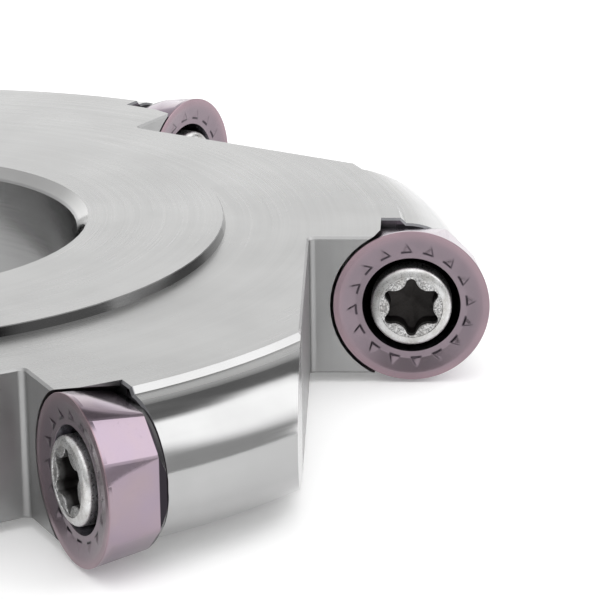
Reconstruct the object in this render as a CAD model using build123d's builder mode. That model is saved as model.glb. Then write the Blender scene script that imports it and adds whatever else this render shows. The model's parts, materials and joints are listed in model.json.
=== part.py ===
from build123d import *
from math import atan2, cos, degrees, hypot, radians, sin, sqrt, tan
import os

# Indexable slotting disc cutter: a plain disc with a raised hub, six full-round
# carbide inserts standing in pockets on its rim, each held by one six-lobe screw.
# Millimetres. The bore axis is Z, the origin is at the middle of the disc, and
# the first insert's cutting face looks along -Y, so the cutter turns clockwise
# when it is seen from +Z.

os.makedirs("parts", exist_ok=True)

# Cutter
TOOTH_COUNT = 6
CUTTING_DIAMETER = 80.0
DISC_THICKNESS = 9.2
HUB_WIDTH = 10.4
HUB_DIAMETER = 45.9
HUB_WALL_LEAN = 12.0       # degrees, wider at the foot
HUB_EDGE_CHAMFER = 0.05
BORE_DIAMETER = 27.0
BORE_CHAMFER = 0.75
KEYWAY_WIDTH = 7.0
KEYWAY_HEIGHT = 29.8       # from the keyway floor to the opposite bore wall
KEYWAY_CORNER = 1.2
RIM_DIAMETER = 78.0        # the steel rim stands 1 mm inside the cutting edge
RIM_ROUNDING = 4.25        # the rim follows the round inserts inside their edges
FLAT_FACE_DIAMETER = 68.8  # a narrow bevel runs from here to the rounded rim
EDGE_BREAK = 0.14
SEAT_EDGE_BREAK = 0.14

# Teeth and chip gullets
RAKE_ANGLE = 1.7           # the cutting face leans back from the radius
GULLET_DEPTH = 6.5         # from the insert's centre in to the gullet corner
GULLET_OPENING = 1.0       # the gullet floor leans out from square with the face
GULLET_CORNER_RADIUS = 0.4

# Round insert
INSERT_DIAMETER = 10.0
INSERT_THICKNESS = 3.97
FLANK_ANGLE = 7.0
LARGE_FLAT_ANGLE = 13.0    # four large flats on the flank, a quarter turn apart
LARGE_FLAT_DISTANCE = 4.86  # from the axis, measured at the cutting face
SMALL_FLAT_ANGLE = 6.6     # four small flats between them
SMALL_FLAT_DISTANCE = 4.82
FLAT_START = 0.3           # round land left above the flats
INSERT_BACK_BEVEL = 0.5
INSERT_HOLE_DIAMETER = 4.0
FACE_DISH_DEPTH = 0.2      # the chip groove inside the cutting edge
FACE_DISH_RADIUS = 4.2
COUNTERSINK_DIAMETER = 6.3
COUNTERSINK_ANGLE = 25.0   # half angle
POCKET_CLEARANCE = 0.2
NOTCH_OFFSET = 2.0         # the pocket wall stops this far inward of the centre

# Insert screw, M3.5 with a six-lobe recess
SCREW_DIAMETER = 3.5
SCREW_LENGTH = 9.5
SCREW_POINT_CHAMFER = 0.5
HEAD_DIAMETER = 5.2
HEAD_RISE = 0.35           # head top above the cutting edge
HEAD_CROWN_DROP = 0.4
HEAD_DISH_DIAMETER = 4.2
HEAD_DISH_DEPTH = 0.06
HEAD_SEAT_GAP = 0.03
RECESS_TIP_DIAMETER = 3.84
RECESS_TIP_RADIUS = 0.305
RECESS_WAIST_DIAMETER = 2.76
RECESS_WAIST_RADIUS = 0.87
RECESS_LOBE_COUNT = 6
RECESS_DEPTH = 1.6
TAPPED_CLEARANCE = 0.05
TAPPED_DEPTH = 7.2         # below the insert seat
DRILL_POINT_ANGLE = 59.0   # half angle

HALF_DISC = DISC_THICKNESS / 2
HALF_HUB = HUB_WIDTH / 2
INSERT_RADIUS = INSERT_DIAMETER / 2
CENTRE_RADIUS = CUTTING_DIAMETER / 2 - INSERT_RADIUS
TOOTH_PITCH = 360 / TOOTH_COUNT
HUB_FOOT_RADIUS = HUB_DIAMETER / 2 + (HALF_HUB - HALF_DISC) * tan(radians(HUB_WALL_LEAN))


def polar(radius, angle):
    """Point on a circle about the origin of the current plane."""
    return radius * cos(radians(angle)), radius * sin(radians(angle))


def tooth_point(index, inward, forward):
    """Plan position of a point given from an insert's centre.

    inward runs down the cutting face towards the bore, forward leaves the face.
    """
    centre_x, centre_y = polar(CENTRE_RADIUS, index * TOOTH_PITCH)
    lean = index * TOOTH_PITCH + RAKE_ANGLE
    out_x, out_y = polar(1, lean)
    face_x, face_y = polar(1, lean - 90)
    return (centre_x - inward * out_x + forward * face_x,
            centre_y - inward * out_y + forward * face_y)


def face_plane(index, depth=0.0):
    """Plane of an insert's cutting face, or one that lies deeper in its tooth."""
    lean = radians(index * TOOTH_PITCH + RAKE_ANGLE)
    origin_x, origin_y = tooth_point(index, 0, -depth)
    return Plane(origin=(origin_x, origin_y, 0),
                 x_dir=(cos(lean), sin(lean), 0),
                 z_dir=(sin(lean), -cos(lean), 0))


def axis_section(index):
    """Plane through an insert's own axis: x outward, y out of the cutting face."""
    face = face_plane(index)
    return Plane(origin=face.origin, x_dir=face.x_dir, z_dir=(0, 0, -1))


def insert_axis(index):
    """The axis that an insert, its screw and its tapped hole share."""
    face = face_plane(index)
    return Axis(face.origin, face.z_dir)


def rim_crossing(start, direction):
    """Point where a line from inside the rim circle leaves it."""
    length = hypot(*direction)
    step_x, step_y = direction[0] / length, direction[1] / length
    along = start[0] * step_x + start[1] * step_y
    inside = start[0] ** 2 + start[1] ** 2 - (RIM_DIAMETER / 2 + 1) ** 2
    travel = -along + sqrt(along ** 2 - inside)
    return start[0] + travel * step_x, start[1] + travel * step_y


def tooth_outline(index):
    """Plan of one tooth: gullet corner, face tip, heel, and the next corner."""
    corner = tooth_point(index, GULLET_DEPTH, 0)
    tip = rim_crossing(corner, polar(1, index * TOOTH_PITCH + RAKE_ANGLE))
    next_corner = tooth_point(index + 1, GULLET_DEPTH, 0)
    floor_angle = (index + 1) * TOOTH_PITCH + RAKE_ANGLE - 90 + GULLET_OPENING
    heel = rim_crossing(next_corner, polar(1, floor_angle))
    return corner, tip, heel, next_corner


def rim_section():
    """Half section of the disc, its hub and the bore, revolved about Z."""
    bore = BORE_DIAMETER / 2
    hub = HUB_DIAMETER / 2
    rim = RIM_DIAMETER / 2
    rounding_centre = rim - RIM_ROUNDING
    halfway_x, halfway_z = polar(RIM_ROUNDING, 45)
    with BuildSketch(Plane.XZ) as section:
        with BuildLine():
            upper = Polyline(
                (bore, 0),
                (bore, HALF_HUB - BORE_CHAMFER),
                (bore + BORE_CHAMFER, HALF_HUB),
                (hub - HUB_EDGE_CHAMFER, HALF_HUB),
                (hub, HALF_HUB - HUB_EDGE_CHAMFER),
                (HUB_FOOT_RADIUS, HALF_DISC),
                (FLAT_FACE_DIAMETER / 2, HALF_DISC),
                (rounding_centre, RIM_ROUNDING))
            rounded = ThreePointArc(
                (rounding_centre, RIM_ROUNDING),
                (rounding_centre + halfway_x, halfway_z),
                (rim, 0))
            mirror([upper, rounded], about=Plane.XZ)
        make_face()
    return section.sketch


def plan_outline():
    """Closed plan of all the teeth, with rounded gullet corners."""
    with BuildSketch() as plan:
        with BuildLine():
            for index in range(TOOTH_COUNT):
                corner, tip, heel, next_corner = tooth_outline(index)
                Line(corner, tip)
                RadiusArc(tip, heel, RIM_DIAMETER / 2 + 1)
                Line(heel, next_corner)
        make_face()
        gullet_corners = plan.vertices().group_by(lambda v: round(hypot(v.X, v.Y), 1))[0]
        fillet(gullet_corners, radius=GULLET_CORNER_RADIUS)
    return plan.sketch


def make_cutter_body():
    with BuildPart() as body:
        add(plan_outline())
        extrude(amount=HALF_DISC, both=True)
        chamfer(body.faces().filter_by(Axis.Z).edges(), length=EDGE_BREAK)
        with BuildSketch(Plane.XY.offset(-HALF_HUB)):
            Circle(HUB_FOOT_RADIUS)
        extrude(amount=HUB_WIDTH)
        add(rim_section())
        revolve(axis=Axis.Z, mode=Mode.INTERSECT)
        with BuildSketch(Plane.XY.offset(-HALF_HUB)) as keyway:
            floor_x = KEYWAY_HEIGHT - BORE_DIAMETER / 2
            with Locations((-floor_x / 2, 0)):
                Rectangle(floor_x, KEYWAY_WIDTH)
            fillet(keyway.vertices().group_by(Axis.X)[0], radius=KEYWAY_CORNER)
        extrude(amount=HUB_WIDTH, mode=Mode.SUBTRACT)
        for index in range(TOOTH_COUNT):
            cut_pocket(index)
            chamfer(seat_rim_edges(body, index), length=SEAT_EDGE_BREAK)
    return body


def seat_rim_edges(body, index):
    """Outer edges of an insert seat, where the seat breaks out at the rim."""
    seat = face_plane(index, INSERT_THICKNESS)

    def is_outer(edge):
        start, middle, end = (seat.to_local_coords(edge @ place) for place in (0, 0.5, 1))
        in_seat = max(abs(start.Z), abs(middle.Z), abs(end.Z)) < 0.001
        beyond_wall = middle.X > 0.01 - NOTCH_OFFSET
        return in_seat and beyond_wall and hypot(middle.X, middle.Y) > SCREW_DIAMETER

    return body.edges().filter_by(is_outer)


def cut_pocket(index):
    """Insert pocket, the notch round its outer half, and the tapped hole."""
    face = face_plane(index)
    with BuildSketch(face) as seat:
        Circle(INSERT_RADIUS + POCKET_CLEARANCE)
    extrude(seat.sketch, amount=-INSERT_THICKNESS, taper=FLANK_ANGLE, mode=Mode.SUBTRACT)
    notch_width = CUTTING_DIAMETER / 2 - CENTRE_RADIUS + NOTCH_OFFSET + 1
    with BuildSketch(face) as notch:
        with Locations((notch_width / 2 - NOTCH_OFFSET, 0)):
            Rectangle(notch_width, HUB_WIDTH)
    extrude(notch.sketch, amount=-INSERT_THICKNESS, mode=Mode.SUBTRACT)
    tapped_radius = SCREW_DIAMETER / 2 + TAPPED_CLEARANCE
    hole_end = -INSERT_THICKNESS - TAPPED_DEPTH
    with BuildSketch(axis_section(index)) as tapped_hole:
        with BuildLine():
            Polyline(
                (0, 0),
                (tapped_radius, 0),
                (tapped_radius, hole_end),
                (0, hole_end - tapped_radius / tan(radians(DRILL_POINT_ANGLE))),
                close=True)
        make_face()
    revolve(tapped_hole.sketch, axis=insert_axis(index), mode=Mode.SUBTRACT)


def make_insert(index):
    hole = INSERT_HOLE_DIAMETER / 2
    sink = COUNTERSINK_DIAMETER / 2
    sink_depth = FACE_DISH_DEPTH + (sink - hole) / tan(radians(COUNTERSINK_ANGLE))
    bevel_top = INSERT_THICKNESS - INSERT_BACK_BEVEL
    flank = INSERT_RADIUS - bevel_top * tan(radians(FLANK_ANGLE))
    with BuildPart() as insert:
        with BuildSketch(axis_section(index)):
            with BuildLine():
                Polyline(
                    (sink, -FACE_DISH_DEPTH),
                    (FACE_DISH_RADIUS, -FACE_DISH_DEPTH),
                    (INSERT_RADIUS, 0),
                    (flank, -bevel_top),
                    (flank - INSERT_BACK_BEVEL, -INSERT_THICKNESS),
                    (hole, -INSERT_THICKNESS),
                    (hole, -sink_depth),
                    close=True)
            make_face()
        revolve(axis=insert_axis(index))
        cut_flats(index, LARGE_FLAT_DISTANCE, LARGE_FLAT_ANGLE, 45)
        cut_flats(index, SMALL_FLAT_DISTANCE, SMALL_FLAT_ANGLE, 0)
    return insert


def cut_flats(index, distance, angle, turn):
    """Four leaning flats on an insert's flank, a quarter turn apart."""
    apothem = distance - FLAT_START * tan(radians(angle))
    with BuildSketch(face_plane(index, FLAT_START)) as flats:
        Circle(INSERT_DIAMETER)
        RegularPolygon(apothem, 4, major_radius=False, rotation=turn, mode=Mode.SUBTRACT)
    depth = INSERT_THICKNESS - FLAT_START
    extrude(flats.sketch, amount=-depth, taper=-angle, mode=Mode.SUBTRACT)


def make_insert_screw(index):
    shank = SCREW_DIAMETER / 2
    head = HEAD_DIAMETER / 2
    slope = tan(radians(COUNTERSINK_ANGLE))
    seat_radius = COUNTERSINK_DIAMETER / 2 + FACE_DISH_DEPTH * slope - HEAD_SEAT_GAP
    dish = HEAD_DISH_DIAMETER / 2
    top = HEAD_RISE
    with BuildPart() as screw:
        with BuildSketch(axis_section(index)):
            with BuildLine():
                Polyline(
                    (0, top - HEAD_DISH_DEPTH),
                    (dish, top - HEAD_DISH_DEPTH),
                    (dish, top),
                    (head, top - HEAD_CROWN_DROP),
                    (head, (head - seat_radius) / slope),
                    (shank, (shank - seat_radius) / slope),
                    (shank, top - SCREW_LENGTH + SCREW_POINT_CHAMFER),
                    (shank - SCREW_POINT_CHAMFER, top - SCREW_LENGTH),
                    (0, top - SCREW_LENGTH),
                    close=True)
            make_face()
        revolve(axis=insert_axis(index))
        recess = recess_outline(face_plane(index, -HEAD_RISE))
        extrude(recess, amount=-RECESS_DEPTH, mode=Mode.SUBTRACT)
    return screw


def recess_outline(plane):
    """Six rounded lobes joined by wide arcs that bulge inward, one lobe upright."""
    tip = RECESS_TIP_DIAMETER / 2
    waist = RECESS_WAIST_DIAMETER / 2
    tip_centre = tip - RECESS_TIP_RADIUS
    half_pitch = 180 / RECESS_LOBE_COUNT
    waist_x, waist_y = polar(waist + RECESS_WAIST_RADIUS, half_pitch)
    bearing = atan2(waist_y, waist_x - tip_centre)
    meet_x = tip_centre + RECESS_TIP_RADIUS * cos(bearing)
    meet_y = RECESS_TIP_RADIUS * sin(bearing)
    meet = hypot(meet_x, meet_y)
    meet_angle = degrees(atan2(meet_y, meet_x))
    with BuildSketch(plane) as outline:
        with BuildLine():
            for lobe in range(RECESS_LOBE_COUNT):
                middle = 90 + 2 * half_pitch * lobe
                ThreePointArc(polar(meet, middle - meet_angle), polar(tip, middle),
                              polar(meet, middle + meet_angle))
                ThreePointArc(polar(meet, middle + meet_angle), polar(waist, middle + half_pitch),
                              polar(meet, middle + 2 * half_pitch - meet_angle))
        make_face()
    return outline.sketch


def save(piece, name):
    piece.part.label = name
    export_step(piece.part, f"parts/{name}.step")


save(make_cutter_body(), "cutter_body")
for station in range(TOOTH_COUNT):
    save(make_insert(station), f"insert_{station + 1}")
    save(make_insert_screw(station), f"insert_screw_{station + 1}")
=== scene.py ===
import json
from math import atan2, cos, pi, radians, sin, tan

import bpy
import bmesh
import numpy as np
from mathutils import Matrix, Vector


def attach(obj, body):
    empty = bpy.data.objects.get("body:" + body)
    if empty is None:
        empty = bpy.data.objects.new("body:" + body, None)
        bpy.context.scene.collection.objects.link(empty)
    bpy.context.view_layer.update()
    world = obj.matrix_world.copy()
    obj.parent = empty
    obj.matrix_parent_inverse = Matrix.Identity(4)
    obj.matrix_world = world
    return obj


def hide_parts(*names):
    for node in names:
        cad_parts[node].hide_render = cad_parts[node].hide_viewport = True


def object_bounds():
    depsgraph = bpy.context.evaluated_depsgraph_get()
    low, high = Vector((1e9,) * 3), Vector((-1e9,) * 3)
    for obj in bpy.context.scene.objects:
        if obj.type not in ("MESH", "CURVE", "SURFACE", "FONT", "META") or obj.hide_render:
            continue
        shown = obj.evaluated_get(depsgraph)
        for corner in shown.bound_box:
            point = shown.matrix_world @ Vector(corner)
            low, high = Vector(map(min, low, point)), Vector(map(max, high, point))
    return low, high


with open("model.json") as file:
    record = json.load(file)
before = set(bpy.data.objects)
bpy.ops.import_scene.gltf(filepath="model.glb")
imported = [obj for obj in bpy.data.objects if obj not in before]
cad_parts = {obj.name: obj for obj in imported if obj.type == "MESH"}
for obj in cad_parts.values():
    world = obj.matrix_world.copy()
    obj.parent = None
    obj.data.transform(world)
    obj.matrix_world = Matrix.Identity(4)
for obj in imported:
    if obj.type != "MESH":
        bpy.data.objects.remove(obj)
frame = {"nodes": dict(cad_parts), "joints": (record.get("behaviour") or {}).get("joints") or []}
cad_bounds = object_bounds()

MM = 0.001
STATIONS = 6

# Insert, in millimetres from the middle of its cutting face
EDGE_RADIUS = 5.0
INSERT_DEPTH = 3.97
FLANK_SLOPE = tan(radians(7.0))
BACK_BEVEL = 0.5
FLAT_START = 0.3
LARGE_FLAT = (4.86, tan(radians(13.0)))
SMALL_FLAT = (4.82, tan(radians(6.6)))
HOLE_RADIUS = 2.0
SINK_RADIUS = 3.15
SINK_SLOPE = tan(radians(25.0))
EDGE_HONE = 0.03
LAND_RADIUS = 4.58
GROOVE_RADIUS = 3.6
GROOVE_DEPTH = 0.2
BUMPS = 16
BUMP_PHASE = radians(5.2)
BUMP_BASE = 3.52
BUMP_TIP = 4.36
BUMP_HALF_WIDTH = 0.40
BUMP_HEIGHT = 0.055
BUMP_WALL = 0.09
BUMP_STEEP = 0.09
BUMP_GENTLE = 0.45
BUMP_RUN_OUT = 0.6      # share of its length over which a bump falls to its tip
STOCK = 0.3             # left above the face for the face cutter to take off
FLAT_REACH = 8          # block that cuts a flat: outward, downward and half across
FLAT_DOWN = 5
FLAT_HALF = 6
INSERT_CREASE = 32      # degrees

# Stations round the cutter, in metres and radians
SEAT_RADIUS_OUT = 0.035
PITCH = 2 * pi / STATIONS

# Screw
HEAD_TOP = 0.35
HEAD_RADIUS = 2.6
HEAD_DROP = 0.4
RING_RADIUS = 2.02
SEAT_RADIUS = 3.2133
SHANK_RADIUS = 1.75
THREAD_PITCH = 0.6
THREAD_DEPTH = 0.36
THREAD_TOP = -3.95
THREAD_RUN_IN = 0.6
SCREW_END = -9.15
LEAD_GAP = 0.3
LEAD_LENGTH = 0.5
LEAD_TAPER = 0.35
NECK_STEP = 0.1
EDGE_BREAK = 0.05
RECESS_FLOOR = -1.2
LOBE_TIP = 1.9
LOBE_ROUND = 0.305
LOBE_WAIST = 1.38
WAIST_ROUND = 0.87
SCREW_CREASE = 38       # degrees

# Where the body's finish changes, in metres: none, full
RIM_ZONE = (0.0340, 0.0343)
BORE_ZONE = (0.0137, 0.01355)
HUB_OUTSIDE = (0.0240, 0.0239)
HUB_INSIDE = (0.0225, 0.0226)
NOTCH_FRONT = (-0.00005, 0.0001)
NOTCH_BACK = (0.0042, 0.0041)
POCKET_ZONE = (0.0063, 0.0061)
SEAT_ZONE = (0.00385, 0.0039)
FLAT_ZONE = (0.93, 0.99)        # of the face normal's upright part

# Brightness of the steel, zone by zone
FLAT_TONE = 0.50
WALL_TONE = 0.36
RIM_TONE = 0.43
# painted shade: very dark tone for the step wall round the hub
HUB_WALL_SHADE_TONE = 0.11
BORE_TONE = 0.36
# painted shade: dark tone for the insert seat deep in each pocket
SEAT_SHADE_TONE = 0.18

# Insert colours
FACE_COLOUR = (0.250, 0.203, 0.230, 1)
EDGE_COLOUR = (0.330, 0.238, 0.268, 1)
FLANK_COLOUR = (0.325, 0.263, 0.318, 1)
FLANK_PALE = (0.343, 0.273, 0.305, 1)
CLOUD_COLOUR = (0.165, 0.145, 0.165, 1)
SPECK_COLOUR = (0.12, 0.105, 0.12, 1)
# painted shade for the deep countersink round the screw hole
SINK_SHADE_COLOUR = (0.11, 0.105, 0.12, 1)
# painted shade for the back bevel's groove against the seat wall
BEVEL_SHADE_COLOUR = (0.03, 0.026, 0.032, 1)
# painted shade at the foot and steep side of each pressed bump
BUMP_SHADE_COLOUR = (0.022, 0.018, 0.024, 1)

# Studio: brightness of the surroundings that the metal mirrors
FRONT_LOW = 0.10
FRONT_HIGH = 0.95
HORIZON_BACK = 1.25
MID_SKY = 0.72
TOP_SKY = 1.1
FLOOR_GLOW = 0.17
FLOOR_HALF = 6
FLOOR_GAP = 0.00002     # keeps the floor clear of the lowest face
SOFTBOX_PLACE = (0.3, 0.5, 2.0)
SOFTBOX_SIZE = (2.5, 2.5)
SOFTBOX_POWER = 9.0
PATCHES = (
    # (azimuth, elevation), full out to, none beyond, brightness
    ((0, 66), 20, 34, 1.6),
    ((75, 6), 14, 24, 0.55),
    ((100, 46), 16, 34, 2.10),
    ((158, 47), 7, 14, 0.20),
    ((142, 66), 8, 16, 0.22),
    ((127, 3), 12, 17, 0.02),
    ((42, 2), 8, 13, 0.06),
    ((97, 4), 5, 9, 2.2),
)

# ---------------------------------------------------------------- mesh helpers

def smooth(edge0, edge1, value):
    """0 below edge0, 1 above edge1, smooth between."""
    t = np.clip((value - edge0) / (edge1 - edge0), 0, 1)
    return t * t * (3 - 2 * t)


def lathe(name, rows, pole_low=None, pole_high=None):
    """Closed mesh from rows of (radius, height) arrays round the z axis, first row to last."""
    columns = len(rows[0][0])
    turn = np.arange(columns) * 2 * pi / columns
    verts = []
    for radius, height in rows:
        ring = np.stack([radius * np.cos(turn), radius * np.sin(turn),
                         np.broadcast_to(height, turn.shape)], 1)
        verts.extend(ring.tolist())
    faces = []
    for row in range(len(rows) - 1):
        low = row * columns
        for col in range(columns):
            nxt = (col + 1) % columns
            faces.append((low + col, low + nxt, low + columns + nxt, low + columns + col))
    for height, row, flip in ((pole_low, 0, True), (pole_high, len(rows) - 1, False)):
        if height is None:
            continue
        pole = len(verts)
        verts.append([0, 0, height])
        base = row * columns
        for col in range(columns):
            nxt = (col + 1) % columns
            face = (base + col, base + nxt, pole)
            faces.append(face[::-1] if flip else face)
    mesh = bpy.data.meshes.new(name)
    mesh.from_pydata(verts, [], faces)
    mesh.update()
    return mesh


def face_outward(mesh, scale=1.0):
    """Turn every face outward, and scale the mesh."""
    work = bmesh.new()
    work.from_mesh(mesh)
    bmesh.ops.recalc_face_normals(work, faces=work.faces)
    bmesh.ops.scale(work, vec=(scale, scale, scale), verts=work.verts)
    work.to_mesh(mesh)
    work.free()


def finish_mesh(mesh, sharp_angle):
    """Millimetres to metres, smooth shading with creases at sharp edges."""
    face_outward(mesh, MM)
    mesh.polygons.foreach_set("use_smooth", [True] * len(mesh.polygons))
    mesh.set_sharp_from_angle(angle=radians(sharp_angle))
    mesh.update()
    return mesh


def new_object(name, mesh):
    obj = bpy.data.objects.new(name, mesh)
    bpy.context.scene.collection.objects.link(obj)
    return obj


def cut(target, cutters):
    """Mesh of target with each cutter taken away."""
    for cutter in cutters:
        modifier = target.modifiers.new("cut", "BOOLEAN")
        modifier.operation = "DIFFERENCE"
        modifier.solver = "EXACT"
        modifier.object = cutter
    bpy.context.view_layer.update()
    graph = bpy.context.evaluated_depsgraph_get()
    mesh = bpy.data.meshes.new_from_object(target.evaluated_get(graph))
    for obj in [target] + cutters:
        bpy.data.objects.remove(obj)
    return mesh


# ---------------------------------------------------------------- insert

def face_height(radius, angle):
    """Height of the pressed chip breaker, below the cutting edge at 0."""
    slope = (radius - GROOVE_RADIUS) / (LAND_RADIUS - GROOVE_RADIUS)
    groove = -GROOVE_DEPTH * (1 - np.clip(slope, 0, 1))
    hone = -EDGE_HONE * smooth(EDGE_RADIUS - EDGE_HONE, EDGE_RADIUS, radius)
    pitch = 2 * pi / BUMPS
    local = (angle - BUMP_PHASE + pitch / 2) % pitch - pitch / 2
    across = local * radius
    reach = (BUMP_TIP - radius) / (BUMP_TIP - BUMP_BASE)
    half = BUMP_HALF_WIDTH * reach
    mask = smooth(0, BUMP_STEEP, half + across) * smooth(0, BUMP_GENTLE, half - across)
    mask = mask * smooth(0, BUMP_WALL, radius - BUMP_BASE)
    raised = BUMP_HEIGHT * smooth(0, BUMP_RUN_OUT, reach)
    return groove + raised * mask + hone


def flat_cutter(distance, slope, bearing):
    """Block that cuts one flank flat, leaning inward by slope as it goes down."""
    shape = [(distance - FLAT_START * slope, -FLAT_START), (FLAT_REACH, -FLAT_START),
             (FLAT_REACH, -FLAT_DOWN), (distance - FLAT_DOWN * slope, -FLAT_DOWN)]
    work = bmesh.new()
    ends = []
    for across in (-FLAT_HALF, FLAT_HALF):
        ends.append([work.verts.new((
            out * cos(bearing) - across * sin(bearing),
            out * sin(bearing) + across * cos(bearing), up)) for out, up in shape])
    work.faces.new(ends[0])
    work.faces.new(ends[1][::-1])
    for k in range(4):
        n = (k + 1) % 4
        work.faces.new((ends[0][n], ends[0][k], ends[1][k], ends[1][n]))
    bmesh.ops.recalc_face_normals(work, faces=work.faces)
    mesh = bpy.data.meshes.new("flat_cutter")
    work.to_mesh(mesh)
    work.free()
    return new_object("flat_cutter", mesh)


def face_cutter(turn):
    """Tool that leaves the hole, the countersink and the pressed face."""
    ones = np.ones(len(turn))
    sink_depth = -(GROOVE_DEPTH + (SINK_RADIUS - HOLE_RADIUS) / SINK_SLOPE)
    rows = [(HOLE_RADIUS * ones, -5.0), (HOLE_RADIUS * ones, sink_depth),
            ((SINK_RADIUS - 0.03) * ones, -GROOVE_DEPTH - 0.05)]
    # rings lie closest where a bump's wall rises
    steps = np.concatenate([
        np.linspace(SINK_RADIUS, BUMP_BASE - 0.03, 5),
        np.linspace(BUMP_BASE, BUMP_BASE + BUMP_WALL, 5),
        np.linspace(BUMP_BASE + BUMP_WALL + 0.03, BUMP_TIP, 22),
        np.linspace(BUMP_TIP + 0.08, EDGE_RADIUS - EDGE_HONE, 8),
        [EDGE_RADIUS - EDGE_HONE / 2, EDGE_RADIUS + 0.01]])
    for radius in steps:
        rows.append((radius * ones, face_height(radius * ones, turn)))
    rows.append(((EDGE_RADIUS + 0.6) * ones, 0.0))
    rows.append(((EDGE_RADIUS + 0.6) * ones, 1.0))
    tool = lathe("face_cutter", rows, pole_low=-5.0, pole_high=1.0)
    face_outward(tool)
    return new_object("face_cutter", tool)


def make_insert_mesh():
    columns = BUMPS * 36
    turn = np.arange(columns) * 2 * pi / columns
    ones = np.ones(columns)
    bevel_top = -(INSERT_DEPTH - BACK_BEVEL)
    side = EDGE_RADIUS + bevel_top * FLANK_SLOPE
    blank = lathe("insert_blank", [
        ((side - BACK_BEVEL) * ones, -INSERT_DEPTH),
        (side * ones, bevel_top),
        (EDGE_RADIUS * ones, 0.0),
        (EDGE_RADIUS * ones, STOCK)], pole_low=-INSERT_DEPTH, pole_high=STOCK)
    cutters = [flat_cutter(distance, slope, quarter * pi / 2 + family * pi / 4)
               for family, (distance, slope) in enumerate((LARGE_FLAT, SMALL_FLAT))
               for quarter in range(4)]
    cutters.append(face_cutter(turn))
    mesh = cut(new_object("insert_blank", blank), cutters)
    mesh.name = "round_insert"
    return finish_mesh(mesh, INSERT_CREASE)


# ---------------------------------------------------------------- screw

def lobe_radius(turn):
    """Outline of the six-lobe recess: round lobes joined by wide arcs that bulge inward."""
    pitch = pi / 3
    off = np.abs((turn - pi / 2 + pitch / 2) % pitch - pitch / 2)
    waist_off = pitch / 2 - off
    lobe_centre = LOBE_TIP - LOBE_ROUND
    waist_centre = LOBE_WAIST + WAIST_ROUND
    waist = waist_centre * np.cos(waist_off) - np.sqrt(np.maximum(
        0, WAIST_ROUND ** 2 - (waist_centre * np.sin(waist_off)) ** 2))
    lobe = lobe_centre * np.cos(off) + np.sqrt(np.maximum(
        0, LOBE_ROUND ** 2 - (lobe_centre * np.sin(off)) ** 2))
    bearing = atan2(waist_centre * sin(pitch / 2), waist_centre * cos(pitch / 2) - lobe_centre)
    meet = atan2(LOBE_ROUND * sin(bearing), lobe_centre + LOBE_ROUND * cos(bearing))
    return np.where(off < meet, lobe, waist)


def make_screw_mesh():
    columns = 216
    turn = np.arange(columns) * 2 * pi / columns
    ones = np.ones(columns)
    lobes = lobe_radius(turn)
    rows = [(0.3 * ones, RECESS_FLOOR - 0.2), (0.75 * lobes, RECESS_FLOOR),
            (0.96 * lobes, RECESS_FLOOR + 0.08)]
    inner = HEAD_TOP - 0.06
    for height in np.linspace(RECESS_FLOOR + 0.2, inner - 0.06, 6):
        rows.append((lobes, height))
    rows.append((lobes + 0.015, inner - 0.02))
    rows.append((lobes + EDGE_BREAK, inner))
    edge = RING_RADIUS - 0.03
    for share in (0.25, 0.5, 0.75, 1.0):
        rows.append((lobes + EDGE_BREAK + (edge - lobes - EDGE_BREAK) * share, inner))
    rows.append((RING_RADIUS * ones, HEAD_TOP - 0.005))
    rows.append(((RING_RADIUS + 0.02) * ones, HEAD_TOP))
    rows.append(((RING_RADIUS + EDGE_BREAK) * ones, HEAD_TOP - 0.012))
    dome = HEAD_RADIUS - RING_RADIUS - EDGE_BREAK
    for share in np.linspace(0.12, 1.0, 10):
        radius = RING_RADIUS + EDGE_BREAK + dome * sin(share * pi / 2)
        height = HEAD_TOP - HEAD_DROP + (HEAD_DROP - 0.02) * cos(share * pi / 2)
        rows.append((radius * ones, height))
    cone_top = (HEAD_RADIUS - SEAT_RADIUS) / SINK_SLOPE
    cone_end = (SHANK_RADIUS - NECK_STEP - SEAT_RADIUS) / SINK_SLOPE
    rows.append((HEAD_RADIUS * ones, cone_top + 0.05))
    rows.append(((HEAD_RADIUS - 0.03) * ones, cone_top))
    rows.append(((SHANK_RADIUS - NECK_STEP) * ones, cone_end))
    for height in np.arange(THREAD_TOP, SCREW_END + LEAD_GAP, -THREAD_PITCH / 12):
        phase = (height / THREAD_PITCH - turn / (2 * pi)) % 1.0
        profile = np.clip(np.abs(phase - 0.5) * 2.6 - 0.15, 0, 1)
        fade = min(1.0, max(0.0, (THREAD_TOP - height) / THREAD_RUN_IN))
        lead = min(1.0, max(0.0, (height - SCREW_END - LEAD_GAP) / LEAD_LENGTH))
        crest = SHANK_RADIUS - LEAD_TAPER * (1 - lead) - NECK_STEP * (1 - fade)
        rows.append((np.minimum(crest, SHANK_RADIUS - THREAD_DEPTH * fade * profile), height))
    rows.append(((SHANK_RADIUS - 0.42) * ones, SCREW_END + 0.2))
    rows.append(((SHANK_RADIUS - 0.6) * ones, SCREW_END))
    mesh = lathe("insert_screw", rows, pole_low=RECESS_FLOOR - 0.35, pole_high=SCREW_END)
    return finish_mesh(mesh, SCREW_CREASE)


# ---------------------------------------------------------------- materials

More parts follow.
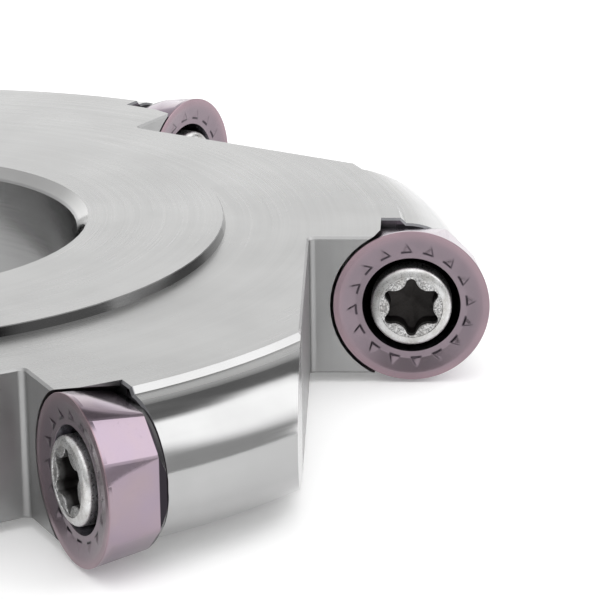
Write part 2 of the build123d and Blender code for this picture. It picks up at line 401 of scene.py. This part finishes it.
class Nodes:
    """Short hand for building one material, or the world."""

    def __init__(self, name, world=None):
        self.material = world or bpy.data.materials.new(name)
        self.material.use_nodes = True
        self.tree = self.material.node_tree
        self.shader = self.tree.nodes["Background" if world else "Principled BSDF"]

    def add(self, kind, settings=None, inputs=None):
        node = self.tree.nodes.new("ShaderNode" + kind)
        for key, value in (settings or {}).items():
            setattr(node, key, value)
        for key, value in (inputs or {}).items():
            if isinstance(value, bpy.types.NodeSocket):
                self.tree.links.new(value, node.inputs[key])
            else:
                node.inputs[key].default_value = value
        return node

    def math(self, operation, first, second=0.0):
        return self.add("Math", {"operation": operation}, {0: first, 1: second}).outputs[0]

    def times(self, first, *others):
        for other in others:
            first = self.math("MULTIPLY", first, other)
        return first

    def less(self, first, second):
        return self.math("SUBTRACT", first, second)

    def invert(self, value):
        return self.less(1.0, value)

    def length(self, first, second):
        squares = [self.times(side, side) for side in (first, second)]
        return self.math("SQRT", self.math("ADD", *squares))

    def remap(self, value, low, high, to_low=0.0, to_high=1.0):
        return self.add("MapRange", {"interpolation_type": "SMOOTHSTEP"}, {
            "Value": value, "From Min": low, "From Max": high,
            "To Min": to_low, "To Max": to_high}).outputs["Result"]

    def noise(self, vector, scale, detail=3.0, roughness=0.5):
        return self.add("TexNoise", None, {
            "Vector": vector, "Scale": scale, "Detail": detail,
            "Roughness": roughness}).outputs["Fac"]

    def mix(self, share, first, second):
        node = self.add("Mix", {"data_type": "RGBA"}, {0: share, 6: first, 7: second})
        return node.outputs[2]

    def mix_value(self, share, first, second):
        node = self.add("Mix", {"data_type": "FLOAT"}, {0: share, 2: first, 3: second})
        return node.outputs[0]

    def bump(self, height, distance, strength, normal=None):
        inputs = {"Height": height, "Distance": distance, "Strength": strength}
        if normal is not None:
            inputs["Normal"] = normal
        return self.add("Bump", None, inputs).outputs["Normal"]

    def vector(self, x, y, z):
        return self.add("CombineXYZ", None, {0: x, 1: y, 2: z}).outputs[0]

    def feed(self, socket, value):
        self.tree.links.new(value, self.shader.inputs[socket])


def grey(value, tint=(1.0, 1.0, 1.0)):
    return (value * tint[0], value * tint[1], value * tint[2], 1.0)


def make_body_material():
    m = Nodes("cutter_steel")
    place = m.add("TexCoord").outputs["Object"]
    x, y, z = m.add("SeparateXYZ", None, {0: place}).outputs
    radius = m.length(x, y)
    angle = m.math("ARCTAN2", y, x)
    facing = m.add("SeparateXYZ", None, {0: m.add("NewGeometry").outputs["True Normal"]})
    upright = m.math("ABSOLUTE", facing.outputs[2])
    flat = m.remap(upright, *FLAT_ZONE)
    wall = m.invert(flat)
    rim = m.times(m.remap(radius, *RIM_ZONE), wall)
    bore = m.times(m.remap(radius, *BORE_ZONE), wall)

    # every station looks the same, so positions are turned back to the first one
    turns = m.math("FLOOR", m.math("DIVIDE", m.math("ADD", angle, PITCH / 2), PITCH))
    local = m.less(angle, m.times(turns, PITCH))
    out = m.less(m.times(radius, m.math("COSINE", local)), SEAT_RADIUS_OUT)
    behind = m.times(radius, m.math("SINE", local))
    in_notch = m.times(m.remap(behind, *NOTCH_FRONT), m.remap(behind, *NOTCH_BACK))
    in_pocket = m.times(m.remap(m.length(out, z), *POCKET_ZONE), in_notch)
    # painted shade: the insert seat at the back of each pocket is darkened where shade falls in
    # the pocket
    seat_shade = m.times(in_pocket, m.remap(behind, *SEAT_ZONE), wall)

    rings = m.noise(m.vector(m.times(radius, 9000.0), m.times(angle, 1.2),
                             m.times(z, 9000.0)), 1.0, 4.0, 0.6)
    coarse_rings = m.noise(m.vector(m.times(radius, 1400.0), m.times(angle, 0.8), 0.0), 1.0, 2.0)
    grain = m.noise(place, 9000.0, 2.0)
    mottle = m.noise(place, 160.0, 4.0)
    stains = m.noise(place, 55.0, 5.0, 0.65)

    tone = m.times(m.remap(mottle, 0.25, 0.75, 0.93, 1.05),
                   m.remap(stains, 0.3, 0.8, 0.97, 1.03),
                   m.remap(coarse_rings, 0.3, 0.7, 0.98, 1.02))
    inside_hub = m.remap(radius, *HUB_OUTSIDE)
    turned = m.math("MAXIMUM", flat, m.math("MAXIMUM", rim, inside_hub))
    # painted shade: the hub's step wall is made far darker than the other walls
    hub_wall_shade = m.times(inside_hub, m.remap(radius, *HUB_INSIDE), wall)
    base = m.mix(turned, grey(WALL_TONE), grey(FLAT_TONE, (1.0, 1.0, 0.99)))
    base = m.mix(rim, base, grey(RIM_TONE))
    base = m.mix(hub_wall_shade, base, grey(HUB_WALL_SHADE_TONE))
    base = m.mix(bore, base, grey(BORE_TONE))
    base = m.mix(seat_shade, base, grey(SEAT_SHADE_TONE, (0.95, 0.95, 1.0)))
    colour = m.add("VectorMath", {"operation": "SCALE"}, {0: base, "Scale": tone}).outputs[0]
    m.feed("Base Color", colour)

    rough = m.mix_value(flat, m.mix_value(turned, 0.36, 0.10), 0.27)
    rough = m.mix_value(rim, rough, 0.11)
    rough = m.mix_value(bore, rough, 0.18)
    rough = m.math("ADD", rough, m.remap(rings, 0.3, 0.7, -0.02, 0.03))
    rough = m.math("ADD", rough, m.remap(stains, 0.45, 0.75, 0.0, 0.05))
    m.feed("Roughness", rough)
    m.shader.inputs["Metallic"].default_value = 1.0

    normal = m.bump(rings, 0.000004, 0.22)
    normal = m.bump(grain, 0.000002, 0.25, normal)
    normal = m.bump(mottle, 0.00001, 0.15, normal)
    m.feed("Normal", normal)
    return m.material


def make_insert_material():
    m = Nodes("coated_carbide")
    place = m.add("TexCoord").outputs["Object"]
    x, y, z = m.add("SeparateXYZ", None, {0: place}).outputs
    radius = m.length(x, y)
    cloud = m.noise(place, 350.0, 3.0)
    grain = m.noise(place, 16000.0, 3.0, 0.7)
    outer = m.remap(m.math("ADD", radius, m.times(cloud, 0.0006)), 0.00445, 0.0053)
    beyond_face = m.math("MAXIMUM", m.remap(radius, 0.00466, 0.00474),
                         m.remap(z, -0.00024, -0.00027))
    flank = m.times(m.remap(z, -0.00004, -0.00014), beyond_face)
    # painted shade: the countersink round the screw hole is darkened where it lies deep and in
    # shade
    sink_shade = m.times(m.remap(radius, 0.00316, 0.00313), m.remap(z, -0.00021, -0.00025))
    # painted shade: the back bevel, a groove against the seat wall, is made almost black
    bevel_shade = m.remap(z, -0.00346, -0.0035)
    specks = m.remap(m.noise(place, 5200.0, 2.0), 0.66, 0.78, 0.0, 0.2)
    flank_tint = m.mix(m.remap(cloud, 0.3, 0.7), FLANK_COLOUR, FLANK_PALE)
    base = m.mix(outer, FACE_COLOUR, EDGE_COLOUR)
    base = m.mix(flank, base, flank_tint)
    base = m.mix(m.remap(cloud, 0.35, 0.75, 0.0, 0.35), base,
                 m.mix(flank, CLOUD_COLOUR, flank_tint))
    base = m.mix(specks, base, SPECK_COLOUR)
    base = m.mix(bevel_shade, base, BEVEL_SHADE_COLOUR)
    base = m.mix(sink_shade, base, SINK_SHADE_COLOUR)

    # painted shade against the inner end and the steep side of each pressed bump
    around = m.math("ADD", m.math("ARCTAN2", y, x), 2 * pi - BUMP_PHASE + pi / BUMPS)
    around = m.less(m.math("MODULO", around, 2 * pi / BUMPS), pi / BUMPS)
    across = m.times(around, radius)
    foot = (BUMP_BASE + 0.04) * MM
    tip = BUMP_TIP * MM
    half = m.times(m.less(tip, radius), BUMP_HALF_WIDTH / (BUMP_TIP - BUMP_BASE))
    at_foot = m.times(
        m.remap(m.math("ABSOLUTE", m.less(radius, foot)), 0.00011, 0.00004),
        m.remap(m.math("ABSOLUTE", across), 0.00040, 0.00028))
    from_side = m.math("ADD", m.math("ADD", across, half), -0.00005)
    at_side = m.times(
        m.remap(m.math("ABSOLUTE", from_side), 0.00010, 0.00003),
        m.remap(radius, foot - 0.0001, foot),
        m.remap(radius, tip - 0.00008, tip - 0.00045, 0.0, 0.8))
    bump_shade = m.times(m.math("MAXIMUM", at_foot, at_side), 0.85, m.invert(flank))
    base = m.mix(bump_shade, base, BUMP_SHADE_COLOUR)
    m.feed("Base Color", base)
    rough = m.math("ADD", m.mix_value(flank, 0.20, 0.13), m.remap(grain, 0.2, 0.8, 0.0, 0.08))
    m.feed("Roughness", rough)
    m.shader.inputs["Metallic"].default_value = 1.0
    normal = m.bump(grain, 0.000003, 0.35)
    normal = m.bump(m.noise(place, 2500.0, 2.0), 0.000006, 0.2, normal)
    m.feed("Normal", normal)
    return m.material


def make_screw_material():
    m = Nodes("screw_steel")
    place = m.add("TexCoord").outputs["Object"]
    x, y, z = m.add("SeparateXYZ", None, {0: place}).outputs
    radius = m.length(x, y)
    blotch = m.noise(place, 1500.0, 4.0, 0.65)
    scratch = m.noise(m.vector(m.times(x, 2500.0), m.times(y, 14000.0), m.times(z, 6000.0)),
                      1.0, 3.0, 0.6)
    grit = m.noise(place, 9000.0, 3.0, 0.7)
    deep = m.remap(z, 0.0002, -0.0003)
    recess = m.times(deep, m.remap(radius, 0.00205, 0.00195))
    inner = m.times(m.remap(radius, 0.00204, 0.00200), m.remap(z, 0.0, 0.0002))
    base = m.mix(m.remap(blotch, 0.35, 0.7), grey(0.68), grey(0.50, (1.0, 0.98, 0.95)))
    base = m.mix(m.times(inner, m.remap(grit, 0.35, 0.7)), base, grey(0.15))
    # painted shade: the six-lobe recess is darkened almost to black, and its roughness is raised
    # below
    base = m.mix(recess, base, grey(0.05, (1.0, 0.93, 0.9)))
    m.feed("Base Color", base)
    rough = m.math("ADD", 0.24, m.remap(grit, 0.3, 0.7, 0.0, 0.16))
    rough = m.math("ADD", rough, m.times(recess, 0.25))
    m.feed("Roughness", rough)
    m.shader.inputs["Metallic"].default_value = 1.0
    normal = m.bump(scratch, 0.000012, 0.35)
    normal = m.bump(grit, 0.000015, 0.3, normal)
    normal = m.bump(blotch, 0.00004, 0.35, normal)
    m.feed("Normal", normal)
    return m.material


def make_floor_material():
    m = Nodes("pale_floor")
    place = m.add("TexCoord").outputs["Object"]
    speck = m.noise(place, 60.0, 3.0)
    m.feed("Base Color", m.mix(m.remap(speck, 0.3, 0.7), grey(0.93), grey(0.95)))
    m.shader.inputs["Roughness"].default_value = 0.7
    m.shader.inputs["Specular IOR Level"].default_value = 0.1
    m.shader.inputs["Emission Color"].default_value = grey(1.0)
    m.shader.inputs["Emission Strength"].default_value = FLOOR_GLOW
    return m.material


# ---------------------------------------------------------------- object

cutter = frame["nodes"]["cutter_body"]
cutter.data.materials.clear()
cutter.data.materials.append(make_body_material())

insert_mesh = make_insert_mesh()
insert_mesh.materials.clear()
insert_mesh.materials.append(make_insert_material())
screw_mesh = make_screw_mesh()
screw_mesh.materials.append(make_screw_material())

joints = {joint["name"]: joint for joint in frame["joints"]}
for station in range(1, STATIONS + 1):
    turn_joint = joints[f"screw_{station}_turn"]
    face_normal = Vector(turn_joint["axis"]).normalized()
    outward = Vector((-face_normal.y, face_normal.x, 0))
    place = Matrix.Translation(turn_joint["pos_m"]) @ Matrix(
        (outward, Vector((0, 0, 1)), face_normal)).transposed().to_4x4()
    piece = new_object(f"round_insert_{station}", insert_mesh)
    piece.matrix_world = place
    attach(piece, f"insert_{station}")
    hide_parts(f"insert_{station}")
    screw = new_object(f"six_lobe_screw_{station}", screw_mesh)
    screw.matrix_world = place
    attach(screw, f"screw_{station}")
    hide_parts(f"insert_screw_{station}")

# ---------------------------------------------------------------- studio

floor_mesh = bpy.data.meshes.new("floor")
floor_mesh.from_pydata([(-FLOOR_HALF, -FLOOR_HALF, 0), (FLOOR_HALF, -FLOOR_HALF, 0),
                        (FLOOR_HALF, FLOOR_HALF, 0), (-FLOOR_HALF, FLOOR_HALF, 0)],
                       [], [(0, 1, 2, 3)])
floor_mesh.materials.append(make_floor_material())
floor = new_object("floor", floor_mesh)
floor.location = (0, 0, cad_bounds[0][2] - FLOOR_GAP)

world = bpy.data.worlds.new("studio")
bpy.context.scene.world = world
sky = Nodes("studio", world)
toward = sky.add("TexCoord").outputs["Generated"]
east, north, height = sky.add("SeparateXYZ", None, {0: toward}).outputs


def aim(azimuth, elevation):
    """Direction seen from the object: azimuth 0 is the front, 90 its right-hand side."""
    a, e = radians(azimuth), radians(elevation)
    return sin(a) * cos(e), -cos(a) * cos(e), sin(e)


def patch(centre, full, none):
    """1 within full degrees of a direction, fading to 0 at none degrees."""
    dot = sky.add("VectorMath", {"operation": "DOT_PRODUCT"}, {0: toward, 1: aim(*centre)})
    return sky.remap(dot.outputs["Value"], cos(radians(none)), cos(radians(full)))


level_length = sky.math("SQRT", sky.math("MAXIMUM", 0.0001, sky.invert(sky.times(height, height))))
backward = sky.math("DIVIDE", north, level_length)
rightward = sky.math("DIVIDE", east, level_length)
front = sky.remap(height, 0.13, 0.23, FRONT_LOW, FRONT_HIGH)
horizon = sky.mix_value(sky.remap(backward, -0.9, 0.9), front, HORIZON_BACK)
horizon = sky.math("ADD", horizon, sky.remap(rightward, -1.0, 1.0, -0.12, 0.06))
horizon = sky.times(horizon, sky.remap(height, 0.18, 0.46, 1.12, 0.72))
light = sky.mix_value(sky.remap(height, 0.50, 0.64), horizon, MID_SKY)
light = sky.mix_value(sky.remap(height, 0.80, 0.95), light, TOP_SKY)
for centre, full, none, value in PATCHES:
    light = sky.mix_value(patch(centre, full, none), light, value)
sky.tree.links.new(light, sky.shader.inputs["Strength"])
sky.shader.inputs["Color"].default_value = (1, 1, 1, 1)


def softbox(name, place, target, size, power):
    """Soft light that brightens the floor and isn't seen in reflections."""
    light = bpy.data.lights.new(name, "AREA")
    light.shape = "RECTANGLE"
    light.size, light.size_y = size
    light.energy = power
    obj = new_object(name, light)
    obj.location = place
    direction = Vector(target) - Vector(place)
    obj.rotation_euler = direction.to_track_quat("-Z", "Y").to_euler()
    obj.visible_glossy = False
    return obj


softbox("top_softbox", SOFTBOX_PLACE, (0, 0, 0), SOFTBOX_SIZE, SOFTBOX_POWER)

# ---------------------------------------------------------------- camera

CAMERA_PLACE = Vector((43.69, -196.13, 68.21)) * MM
CAMERA_HEADING = radians(4.61)
CAMERA_TILT = radians(-19.04)
CAMERA_ROLL = radians(-0.73)
CAMERA_LENS = 195.2

ahead = Vector((-sin(CAMERA_HEADING) * cos(CAMERA_TILT), cos(CAMERA_HEADING) * cos(CAMERA_TILT),
                sin(CAMERA_TILT)))
level = Vector((cos(CAMERA_HEADING), sin(CAMERA_HEADING), 0))
up = level.cross(ahead)
right = level * cos(CAMERA_ROLL) + up * sin(CAMERA_ROLL)
up = right.cross(ahead)
camera_data = bpy.data.cameras.new("camera")
camera_data.sensor_width = 36
camera_data.lens = CAMERA_LENS
camera_data.clip_start = 0.005
camera_data.clip_end = 50
camera = new_object("camera", camera_data)
camera.matrix_world = Matrix.Translation(CAMERA_PLACE) @ Matrix(
    (right, up, -ahead)).transposed().to_4x4()
bpy.context.scene.camera = camera
bpy.context.scene.view_settings.view_transform = "Standard"
